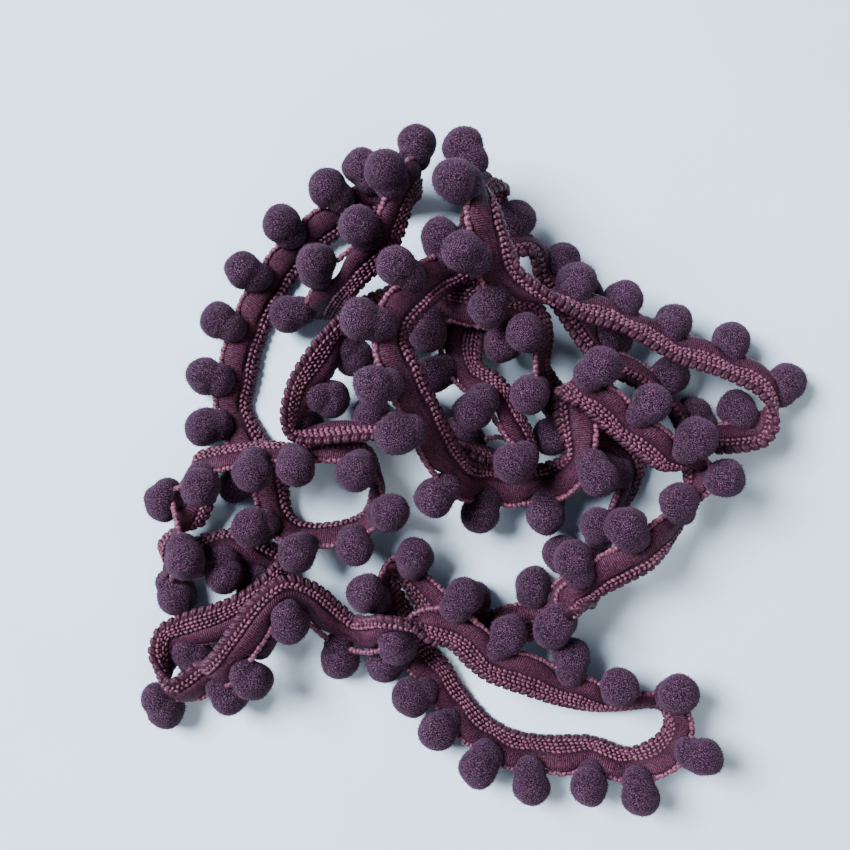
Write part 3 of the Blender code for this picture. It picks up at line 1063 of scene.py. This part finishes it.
def build_edge_stitches():
    """The thick slanted stitches that wrap the band's outer edge, two strands each."""
    rings = fine_rings()
    rng = np.random.default_rng(STITCH_SEED)
    inwards = unit(rings[:, SCALLOP_EDGE] - rings[:, OUTER_EDGE])
    line = rings[:, OUTER_EDGE] + inwards * EDGE_INSET
    where = evenly(line, sizes().edge_pitch)
    ahead = unit(at_places(along(line), where))
    up = unit(at_places(up_from(rings), where))
    points = at_places(line, where)
    varied = rng.uniform(-EDGE_LEAN_VARIES, EDGE_LEAN_VARIES, (len(points), 1))
    turn = np.tile(turns(slanted(ahead, up, np.radians(EDGE_LEAN + varied)), up), (2, 1))
    size = np.tile(rng.uniform(*EDGE_SIZES, len(points)), 2)
    strands = np.concatenate([points - ahead * STRAND_APART, points + ahead * STRAND_APART])
    tree = bead_tree("Edge Stitches", segments=8, rounds=6, finish=finishes()["edge"])
    shape = (sizes().edge_length, sizes().edge_width, EDGE_HEIGHT)
    thing = bead_rows("edge_stitches", raised(strands, EDGE_LOWEST), turn, size, tree, shape)
    dressed(thing, "braid")


def face_stitches(name, upper, rows, slants, shape, tree):
    """Rows of small raised stitches along one face of the band."""
    rings = fine_rings()
    rng = np.random.default_rng(STITCH_SEED + len(rows))
    face = up_from(rings) * (1 if upper else -1)
    points, turn = [], []
    for row, across in enumerate(rows):
        line = face_line(rings, upper, across)
        where = evenly(line, FACE_PITCH)
        if row % 2:
            where = where[:-1] + np.diff(where) / 2
        ahead = unit(at_places(along(line), where))
        up = unit(at_places(face, where))
        lift = rng.uniform(0.0, FACE_LIFT, (len(where), 1))
        points.append(at_places(line, where) + up * lift)
        varied = rng.uniform(-FACE_SLANT_VARIES, FACE_SLANT_VARIES, (len(where), 1))
        angle = np.radians(slants[row % len(slants)] + varied)
        turn.append(turns(slanted(ahead, up, angle), up))
    points = raised(np.concatenate(points), FACE_LOWEST)
    size = rng.uniform(*FACE_SIZES, len(points))
    dressed(bead_rows(name, points, np.concatenate(turn), size, tree, shape), "braid")


def build_ladder_stitches():
    """Four rows of short stitches on the upper face, laid like a ladder."""
    shape = (sizes().chain_length, sizes().chain_width, LADDER_HEIGHT)
    tree = bead_tree("Ladder Stitches", segments=6, rounds=4, finish=finishes()["stitch"])
    face_stitches("ladder_stitches", True, LADDER_ROWS, LADDER_SLANTS, shape, tree)


def build_chain_stitches():
    """Two rows of small bright slanted stitches on the lower face."""
    shape = (sizes().chain_length, sizes().chain_width * CHAIN_WIDENED, CHAIN_HEIGHT)
    tree = bead_tree("Chain Stitches", segments=6, rounds=5, finish=finishes()["stitch"])
    face_stitches("chain_stitches", False, CHAIN_ROWS, CHAIN_SLANTS, shape, tree)


def satin_rounds(rings, where):
    """The satin's outline round the scallops at each place, and their edge there."""
    upper = at_places(face_line(rings, True, SATIN_ABOVE), where)
    lower = at_places(face_line(rings, False, SATIN_BELOW), where)
    edge = at_places(rings[:, SCALLOP_EDGE], where)
    share = where / (FINE_STEPS * SECTIONS_PER_POMPOM)
    lobe = np.sin(np.pi * (share % 1)) ** 2
    inner = (upper + lower) / 2
    out = unit(edge - inner)
    up = unit(upper - lower)
    width = np.linalg.norm(edge - inner, axis=1)
    centre = inner + out * (SATIN_INWARDS * width)[:, None]
    varied = np.random.default_rng(SATIN_SEED).uniform(-THREAD_VARIES, THREAD_VARIES, len(where))
    ridge = np.where(np.arange(len(where)) % 2 == 0, THREAD_RIDGE, -THREAD_RIDGE) + varied
    outwards = (1 - SATIN_INWARDS) * width + SATIN_OUTER_COVER + SATIN_LOBE * lobe + ridge
    inwards = SATIN_INWARDS * width + SATIN_INNER_COVER + ridge
    thickness = np.linalg.norm(upper - lower, axis=1)
    swell = thickness / 2 + SATIN_FACE_COVER + sizes().scallop_swell * lobe + ridge
    sweep = np.radians(np.linspace(-SATIN_SWEEP, SATIN_SWEEP, SATIN_POINTS))
    reach = np.where(np.cos(sweep) > 0, outwards[:, None], inwards[:, None])
    rounds = centre[:, None] + (
        (reach * np.cos(sweep))[:, :, None] * out[:, None]
        + (swell[:, None] * np.sin(sweep))[:, :, None] * up[:, None]
    )
    return raised(rounds, LOWEST_SKIN), edge


def build_scallops():
    """The padded scallops, wound across with satin thread."""
    rings = fine_rings()
    where = evenly(rings[:, SCALLOP_EDGE], sizes().thread_pitch / 2)
    rounds, edge = satin_rounds(rings, where)
    mesh = skin("satin_scallops", rounds, finishes()["satin"])
    wrap = mesh.uv_layers.new(name="wrap")
    corners = np.zeros(len(mesh.loops), np.int32)
    mesh.loops.foreach_get("vertex_index", corners)
    round_share = (corners % SATIN_POINTS) / SATIN_POINTS
    length = run_along(edge)[corners // SATIN_POINTS] * MAP_PER_METRE
    map_points = np.stack([length + THREAD_SLANT * round_share, round_share], axis=1)
    wrap.data.foreach_set("uv", map_points.astype(np.float32).ravel())
    facing_out(mesh)
    dressed(linked_object("satin_scallops", mesh), "braid")


def build_beaded_cord():
    """The cord of small bead-like stitches that joins the pompoms at their roots."""
    course = heap()
    roots = course.places - CORD_FROM_MIDDLE * unit(course.facings)
    stops = np.empty((len(roots) * 2 - 1, 3))
    stops[0::2] = roots
    stops[1::2] = course.links
    line = curve_between(stops, CORD_STEPS)
    where = evenly(line, sizes().cord_pitch)
    points = raised(at_places(line, where), CORD_LOWEST)
    ahead = unit(at_places(along(line), where))
    up = unit(np.cross(np.cross(ahead, (0, 0, 1)), ahead) + (0, 0, UP_NUDGE))
    angle = np.where(np.arange(len(where)) % 2 == 0, CORD_SLANT_RADIANS, -CORD_SLANT_RADIANS)
    turn = turns(slanted(ahead, up, angle[:, None]), up)
    tree = bead_tree("Beaded Cord", segments=8, rounds=6, finish=finishes()["stitch"])
    size = np.random.default_rng(CORD_SEED).uniform(*CORD_SIZES, len(points))
    shape = (sizes().cord_bead, CORD_WIDTH, CORD_HEIGHT)
    dressed(bead_rows("beaded_cord", points, turn, size, tree, shape), "pile")


def lumpy(directions, rng):
    """How far a pompom's surface stands from its middle, as a share of its radius."""
    reach = np.ones(len(directions))
    for _ in range(WAVES):
        axis = unit(rng.normal(size=3))
        height = rng.uniform(*WAVE_HEIGHTS)
        waves = directions @ axis * rng.uniform(*WAVE_RADIANS)
        reach += height * np.sin(waves + rng.uniform(*WAVE_STARTS))
    return reach


def lobe_reach(directions, centre, radius):
    """How far a ball about the centre reaches in each direction from a point inside it."""
    toward = directions @ centre
    return toward + np.sqrt(np.maximum(toward ** 2 - centre @ centre + radius ** 2, 0))


def two_lobed(directions, facing, rng):
    """The surface of a round outer lobe and a smaller one at the root, in one pompom."""
    outer_radius = sizes().pompom_radius * rng.uniform(*LOBE_SIZES)
    outer = lobe_reach(directions, facing * LOBE_FORWARDS, outer_radius)
    lean = unit(facing + rng.normal(size=3) * ROOT_LEANS)
    root_radius = sizes().root_radius * rng.uniform(*ROOT_SIZES)
    root = -lean * root_radius * rng.uniform(*ROOT_BACK)
    return np.maximum(outer, lobe_reach(directions, root, root_radius))


def unit_ball():
    """The points and the triangles of a round ball of radius 1."""
    bm = bmesh.new()
    bmesh.ops.create_icosphere(bm, subdivisions=BALL_SUBDIVISIONS, radius=1)
    bm.verts.ensure_lookup_table()
    directions = np.array([vert.co[:] for vert in bm.verts])
    faces = np.array([[vert.index for vert in face.verts] for face in bm.faces])
    bm.free()
    return directions, faces


def build_pompoms():
    """The round chenille pompoms, pressed flat where they lie on the surface."""
    course = heap()
    directions, faces = unit_ball()
    rng = np.random.default_rng(POMPOM_SEED)
    points, triangles = [], []
    for number, (place, facing) in enumerate(zip(course.places, course.facings)):
        reach = lumpy(directions, rng) * two_lobed(directions, facing, rng)
        points.append(raised(place + directions * reach[:, None], LOWEST_SKIN))
        triangles.append(faces + number * len(directions))
    mesh = bpy.data.meshes.new("pompoms")
    mesh.from_pydata(np.concatenate(points).tolist(), [], np.concatenate(triangles).tolist())
    mesh.materials.append(finishes()["pile"])
    mesh.shade_smooth()
    balls = ["pompoms_" + name for name in STRETCHES]
    dressed(linked_object("pompoms", mesh), "pile", *balls)


def build_pile():
    """The short fibres that stand out of the pompoms."""
    source = bpy.data.objects["pompoms"].data.copy()
    thing = linked_object("pile_fibres", source)
    values = {
        "Fibres Per Area": sizes().fibres_per_area * SQUARE_MM_IN_SQUARE_METRE,
        "Fibre Length": sizes().fibre_length,
        "Fibre Width": FIBRE_WIDTH,
        "Seed": PILE_SEED,
    }
    grown(thing, pile_tree("Pompom Pile", finishes()["fibre"]), values)
    dressed(thing, "pile")


def build_stage():
    """The floor, the light and the camera."""
    scene = bpy.context.scene
    mesh = bpy.data.meshes.new("floor")
    corners = [(-1, -1), (1, -1), (1, 1), (-1, 1)]
    mesh.from_pydata([(x * FLOOR_HALF, y * FLOOR_HALF, 0) for x, y in corners], [], [(0, 1, 2, 3)])
    mesh.materials.append(floor_material(tuple(colours().floor)))
    floor = linked_object("floor", mesh)
    world = bpy.data.worlds.new("soft_room")
    world.use_nodes = True
    for socket, value in ROOM_VALUES.items():
        world.node_tree.nodes["Background"].inputs[socket].default_value = value
    scene.world = world
    for lamp in LAMPS:
        light = bpy.data.lights.new(lamp.name, "AREA")
        light.size = lamp.size
        light.energy = lamp.power
        light.color = lamp.tint
        holder = linked_object(lamp.name, light)
        holder.location = lamp.place
        holder.rotation_euler = (-holder.location).to_track_quat("-Z", "Y").to_euler()
    eye = bpy.data.cameras.new("eye")
    eye.sensor_width = SENSOR_WIDTH
    eye.lens = SENSOR_WIDTH / 2 / (PICTURE_CENTRE * FLOOR_SCALE / EYE_HEIGHT)
    eye.clip_start = NEAREST_SEEN
    holder = linked_object("eye", eye)
    shift = heap().shift
    holder.location = (shift[0], shift[1], EYE_HEIGHT)
    scene.camera = holder


def size_of(label, description, millimetres):
    return bpy.props.FloatProperty(
        name=label, description=description, default=millimetres * MM, subtype="DISTANCE"
    )


def colour_of(label, description, *parts):
    return bpy.props.FloatVectorProperty(
        name=label, description=description, default=parts, size=3, subtype="COLOR"
    )


class TrimSizes(bpy.types.PropertyGroup):
    """Sizes of the trim's small pieces."""

    edge_pitch: size_of("Edge Pitch", "Distance between the edge's slanted stitches", 2.2)
    edge_length: size_of("Edge Stitch Length", "Length of one slanted edge stitch", 2.9)
    edge_width: size_of("Edge Stitch Width", "Width of one strand of an edge stitch", 1.4)
    chain_length: size_of("Stitch Length", "Length of one small stitch on the faces", 1.4)
    chain_width: size_of("Stitch Width", "Width of one small stitch on the faces", 0.8)
    thread_pitch: size_of("Thread Pitch", "Distance between the satin threads on the scallops", 0.5)
    scallop_swell: size_of("Scallop Padding", "How far the padding lifts the scallops' middles", 0.7)
    cord_pitch: size_of("Cord Pitch", "Distance between the beaded cord's stitches", 1.15)
    cord_bead: size_of("Cord Bead", "Length of one bead of the cord", 1.8)
    pompom_radius: size_of("Pompom Radius", "Radius of a pompom's outer lobe under its fibres", 4.6)
    root_radius: size_of("Root Radius", "Radius of a pompom's smaller lobe at its root", 3.9)
    fibre_length: size_of("Fibre Length", "Length of the pile's fibres", 0.52)
    fibres_per_area: bpy.props.FloatProperty(
        name="Fibres", description="Number of fibres on a square millimetre", default=1.85,
    )


class TrimColours(bpy.types.PropertyGroup):
    """Colours of the trim and the floor."""

    braid_dark: colour_of("Braid Dark", "The yarn's shaded colour", 0.005, 0.0015, 0.005)
    braid_light: colour_of("Braid Light", "The band's lit colour", 0.018, 0.005, 0.012)
    edge_light: colour_of(
        "Edge Light", "The lit colour of the thick stitches on the edge", 0.092, 0.028, 0.054
    )
    stitch_light: colour_of("Stitch Light", "The lit colour of the raised stitches", 0.235, 0.078, 0.135)
    satin_light: colour_of("Satin Light", "The lit colour of the satin threads", 0.122, 0.036, 0.074)
    # The first pile colour below is painted shade deep between the fibres, and the third is painted
    # glints on the fibre tips.
    pile_dark: colour_of("Pile Dark", "The colour deep in the pile", 0.0025, 0.0009, 0.0028)
    pile_light: colour_of("Pile Light", "The pile's own colour", 0.0130, 0.0046, 0.0128)
    pile_glint: colour_of("Pile Speck", "The colour of the fibres' tips", 0.132, 0.056, 0.118)
    floor: colour_of("Floor", "The floor's colour", 0.66, 0.81, 0.98)


class Building:
    """Runs an operator's own functions, in order."""

    builds = ()

    def execute(self, context):
        for build in self.builds:
            build()
        return {"FINISHED"}


class TRIM_OT_band(Building, bpy.types.Operator):
    """Build the braided band"""

    bl_idname = "trim.band"
    bl_label = "Braided Band"
    builds = (build_band,)


class TRIM_OT_edge_stitches(Building, bpy.types.Operator):
    """Build the slanted stitches round the outer edge"""

    bl_idname = "trim.edge_stitches"
    bl_label = "Edge Stitches"
    builds = (build_edge_stitches,)


class TRIM_OT_face_stitches(Building, bpy.types.Operator):
    """Build the rows of small stitches on both faces"""

    bl_idname = "trim.face_stitches"
    bl_label = "Face Stitches"
    builds = (build_chain_stitches, build_ladder_stitches)


class TRIM_OT_scallops(Building, bpy.types.Operator):
    """Build the satin-wrapped scallops"""

    bl_idname = "trim.scallops"
    bl_label = "Scallops"
    builds = (build_scallops,)


class TRIM_OT_beaded_cord(Building, bpy.types.Operator):
    """Build the beaded cord between the pompoms"""

    bl_idname = "trim.beaded_cord"
    bl_label = "Beaded Cord"
    builds = (build_beaded_cord,)


class TRIM_OT_pompoms(Building, bpy.types.Operator):
    """Build the chenille pompoms and their pile"""

    bl_idname = "trim.pompoms"
    bl_label = "Pompoms"
    builds = (build_pompoms, build_pile)


class TRIM_OT_stage(Building, bpy.types.Operator):
    """Set up the floor, the light and the camera"""

    bl_idname = "trim.stage"
    bl_label = "Stage"
    builds = (build_stage,)


class TRIM_PT_panel(bpy.types.Panel):
    """The trim's sizes, colours and pieces"""

    bl_idname = "TRIM_PT_panel"
    bl_label = "Pompom Trim"
    bl_space_type = "VIEW_3D"
    bl_region_type = "UI"
    bl_category = "Trim"

    def draw(self, context):
        for operator in OPERATORS:
            self.layout.operator(operator.bl_idname)
        for group, values in ((TrimSizes, sizes()), (TrimColours, colours())):
            for name in group.__annotations__:
                self.layout.prop(values, name)


OPERATORS = (
    TRIM_OT_stage,
    TRIM_OT_band,
    TRIM_OT_edge_stitches,
    TRIM_OT_face_stitches,
    TRIM_OT_scallops,
    TRIM_OT_beaded_cord,
    TRIM_OT_pompoms,
)
CLASSES = (TrimSizes, TrimColours, *OPERATORS, TRIM_PT_panel)


def register():
    for item in CLASSES:
        bpy.utils.register_class(item)
    bpy.types.Scene.trim_sizes = bpy.props.PointerProperty(type=TrimSizes)
    bpy.types.Scene.trim_colours = bpy.props.PointerProperty(type=TrimColours)


def unregister():
    del bpy.types.Scene.trim_sizes
    del bpy.types.Scene.trim_colours
    for item in reversed(CLASSES):
        bpy.utils.unregister_class(item)


def main():
    register()
    bpy.ops.trim.stage()
    bpy.ops.trim.band()
    bpy.ops.trim.edge_stitches()
    bpy.ops.trim.face_stitches()
    bpy.ops.trim.scallops()
    bpy.ops.trim.beaded_cord()
    bpy.ops.trim.pompoms()


if __name__ == "__main__":
    main()
